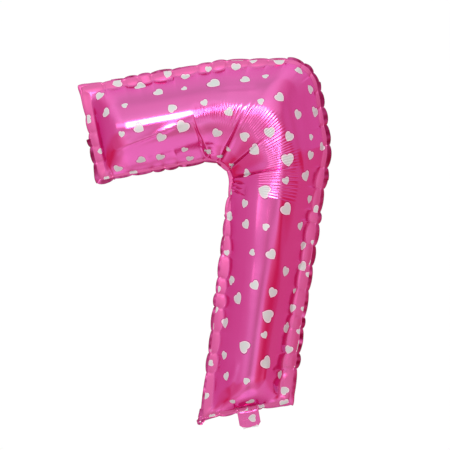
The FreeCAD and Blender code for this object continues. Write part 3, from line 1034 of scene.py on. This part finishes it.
def build_mouth(sign, name, films):
    """The loose end of one valve film, a little wavy where it stands out of the tail."""
    low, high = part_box(f"valve_mouth_{name}")
    x = np.linspace(low.x, high.x, MOUTH_COLUMNS)[None]
    z = np.linspace(high.z, low.z, MOUTH_ROWS)[:, None]
    free = smooth(-z, 0.018, 0.030)
    y = sign * (MOUTH_GAP + MOUTH_PARTS * free) + MOUTH_WAVE * free * np.sin(x * 480 + 2 * sign)
    grid = np.stack([x + 0 * z, y, z + MOUTH_DROOP * free * np.cos(x * 210)], -1)
    faces = grid_faces(MOUTH_ROWS, MOUTH_COLUMNS, flip=sign > 0)
    ob = mesh_object(f"valve_mouth_{name}_film", grid.reshape(-1, 3), faces)
    thicken(ob, MOUTH_THICKNESS)
    ob.data.materials.append(films)
    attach(ob, "tail")
    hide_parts(f"valve_mouth_{name}")


EAR_SIDES, EAR_RINGS = 72, 14
EAR_REACH, EAR_TO_CORNER, EAR_UNEVEN = 0.0078, 0.0060, 0.0005
EAR_THICKNESS = 0.0004
EAR_STANDS, EAR_MEETS = 0.0012, 0.0010  # behind the weld plane at the hole, and less at the corner
EAR_CUP, EAR_RIPPLE = 0.0012, 0.0004
LIP_HEIGHT, LIP_WIDTH = 0.0005, 0.0008
# the ear's painted shade towards maroon, how it waves round the hole, and how slack its film is
EAR_PAINTED_SHADE, EAR_PAINTED_SHADE_WAVE, EAR_SLACK = 0.55, 0.25, 0.1


def build_ear(welded):
    """The welded ear at the leg's left corner, with its hanging hole."""
    hole = next(m for m in frame["record"]["mounts"] if m["name"] == "hang_hole")
    centre = np.array([hole["pos_m"][0], hole["pos_m"][2]])
    radius = hole["dims"]["r_mm"] * MM
    corner = np.array(LEG_END_LEFT[:2])
    inwards = math.atan2(*(corner - centre)[::-1])
    turn = np.linspace(0, 2 * math.pi, EAR_SIDES, endpoint=False)[:, None]
    part = np.linspace(0, 1, EAR_RINGS)[None]
    towards = np.cos(turn - inwards)
    reach = EAR_REACH + EAR_TO_CORNER * np.maximum(towards, 0) ** 2 + EAR_UNEVEN * np.sin(5 * turn + 1)
    r = radius + (reach - radius) * part
    lip = LIP_HEIGHT * np.exp(-(((r - radius) / LIP_WIDTH) ** 2))
    cup = EAR_CUP * part**2 * np.sin(2 * turn + 0.6) + EAR_RIPPLE * np.sin(9 * turn) * part**3
    y = EAR_STANDS - EAR_MEETS * np.maximum(towards, 0) * part + cup - lip
    grid = np.stack([centre[0] + r * np.cos(turn), y, centre[1] + r * np.sin(turn)], -1)
    faces = grid_faces(EAR_SIDES, EAR_RINGS, closed=True)
    ob = mesh_object("hanging_ear", grid.reshape(-1, 3), faces)
    # painted shade: the ear is darkened towards maroon, more on some sides than others
    mark(ob, "painted_shade", EAR_PAINTED_SHADE + EAR_PAINTED_SHADE_WAVE * np.sin(3 * turn + 1) + 0 * part)
    mark(ob, "slack", np.full(grid.shape[:2], EAR_SLACK))
    thicken(ob, EAR_THICKNESS)
    ob.data.materials.append(welded)
    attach(ob, "balloon")
    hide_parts("hanging_tab")


# ---- camera and light ----
ROLL = math.radians(10.3)  # the digit leans this much in the photograph
VIEW_DISTANCE = 3.2
VIEW_WIDTH = 1.011  # seen at the weld plane
AIM = Vector((0.0243, 0, 0.4281))
SENSOR_MM = 36


def camera():
    """Looks straight at the front, rolled as the photograph is."""
    data = bpy.data.cameras.new("camera")
    data.sensor_width = SENSOR_MM
    data.lens = SENSOR_MM * VIEW_DISTANCE / VIEW_WIDTH
    cam = link("camera", data)
    right = Vector((math.cos(ROLL), 0, -math.sin(ROLL)))
    up = Vector((math.sin(ROLL), 0, math.cos(ROLL)))
    back = right.cross(up)
    turned = Matrix((right, up, back)).transposed().to_4x4()
    cam.matrix_world = Matrix.Translation(AIM + back * VIEW_DISTANCE) @ turned
    bpy.context.scene.camera = cam


# soft lights: name, place, aim, size, power in watts and colour
SOFT_LIGHTS = [
    ("soft_box", (-0.02, -2.3, 1.19), (-0.02, 0, 0.69), (0.66, 0.74), 18.0, (1, 1, 1)),
    ("soft_box_glow", (-0.22, -2.35, 1.15), (-0.07, 0, 0.69), (0.60, 0.62), 3.2, (1, 1, 1)),
    ("side_glow", (-1.45, -2.20, 1.32), (0, 0, 0.60), (2.10, 0.56), 4.6, (0.86, 1.00, 0.84)),
    ("corner_box", (0.55, -2.3, 1.05), (0.16, 0, 0.62), (0.26, 0.34), 4.5, (1, 1, 1)),
]


def area(name, place, aim, size, power, colour):
    data = bpy.data.lights.new(name, "AREA")
    data.shape = "RECTANGLE"
    data.size, data.size_y = size
    data.energy = power
    data.color = colour
    ob = link(name, data)
    ob.location = place
    ob.rotation_euler = (Vector(aim) - Vector(place)).to_track_quat("-Z", "Y").to_euler()


# what the film mirrors, as stops of a place from 0 to 1 and a colour or grey.
# WALLS goes from the viewer's left to the viewer's right, for a view of the front or of the back
WALLS = [
    (0, (0.86, 0.52, 0.7)), (0.04, (0.9, 0.66, 0.78)), (0.11, (0.96, 0.92, 0.95)),
    (0.2, (0.96, 0.92, 0.95)), (0.3, (0.84, 0.8, 0.82)), (0.42, (0.66, 0.58, 0.58)),
    (0.5, (0.62, 0.56, 0.54)), (0.6, (0.8, 0.74, 0.74)), (0.72, (0.82, 0.66, 0.7)),
    (0.84, (0.8, 0.38, 0.56)), (0.93, (0.82, 0.48, 0.64)), (1, (0.86, 0.52, 0.7)),
]
# BANDS goes from straight down to straight up. NEAR keeps it to directions close to the YZ plane
BANDS = [
    (0, (0.52, 0.68, 0.7)), (0.02, (0.5, 0.66, 0.66)), (0.048, (0.18, 0.2, 0.1)),
    (0.11, (0.14, 0.12, 0.06)), (0.19, (0.26, 0.38, 0.23)), (0.3, (0.48, 0.9, 0.7)),
    (0.42, (0.3, 0.5, 0.4)), (0.47, (0.05, 0.08, 0.05)), (0.54, (0.05, 0.08, 0.05)),
    (0.62, (0.46, 0.86, 0.62)), (0.765, (0.54, 1.1, 0.82)), (0.87, (0.46, 0.86, 0.66)),
    (0.97, (0.42, 0.74, 0.58)), (0.995, (0.32, 0.6, 0.48)), (1, (0.22, 0.5, 0.36)),
]
NEAR = [(0.0, 1.0), (0.35, 1.0), (0.80, 0.0), (1.0, 0.0)]
# the walls turn crimson where both of these are high: BESIDE from left to right, LOW from down to up
CRIMSON = (0.76, 0.09, 0.21, 1)
BESIDE = [(0.0, 0.42), (0.15, 0.55), (0.38, 0), (0.70, 0), (0.78, 0.95), (0.94, 1), (0.975, 0.50), (1, 0.42)]
LOW = [(0.0, 0.0), (0.12, 0.2), (0.22, 1.0), (0.40, 1.0), (0.47, 0.0)]
PLAIN_WHITE = (1.12, 1.12, 1.12, 1)  # what the camera itself sees behind the balloon
WORLD_STRENGTH = 0.9


def studio():
    """A plain white studio: tinted bands in the world, for the film to mirror, and four soft lights."""
    world = bpy.data.worlds.new("studio")
    bpy.context.scene.world = world
    n = empty_tree(world)
    way = n.add("ShaderNodeTexCoord").outputs["Generated"]
    split = n.add("ShaderNodeSeparateXYZ", {"Vector": way})
    x, y, z = (split.outputs[k] for k in "XYZ")
    turned = n.math("MULTIPLY", x, n.math("SIGN", n.math("MULTIPLY", y, -1.0)))
    sweep = n.math("ADD", n.math("MULTIPLY", turned, 0.5), 0.5)
    height = n.math("ADD", n.math("MULTIPLY", z, 0.5), 0.5)
    crimson = n.math("MULTIPLY", n.ramp(sweep, BESIDE), n.ramp(height, LOW))
    walls = n.mix(crimson, n.ramp(sweep, WALLS), CRIMSON)
    lit = n.vector("MULTIPLY", n.ramp(height, BANDS), n.ramp(n.math("ABSOLUTE", x), NEAR))
    room = n.vector("ADD", walls, lit)
    seen = n.add("ShaderNodeLightPath").outputs["Is Camera Ray"]
    tone = n.mix(seen, room, PLAIN_WHITE)
    back = n.add("ShaderNodeBackground", {"Color": tone, "Strength": WORLD_STRENGTH})
    n.add("ShaderNodeOutputWorld", {"Surface": back.outputs[0]})
    for light in SOFT_LIGHTS:
        area(*light)
    bpy.context.scene.view_settings.view_transform = "Standard"


camera()
studio()
printed = foil("printed_foil", True)
welded = foil("welded_foil", False)
valve = clear_film("valve_film")
base, where, s_in, s_out, width = lay_out()
build_panels(base, where, s_in, s_out, width, printed)
build_fin(welded)
build_tail(printed, valve)
build_ear(welded)
# the nodes that no piece replaces show their own shape, in the film's materials
for name, node in frame["nodes"].items():
    node.data.materials.clear()
    node.data.materials.append(valve if name.startswith("valve") else welded)
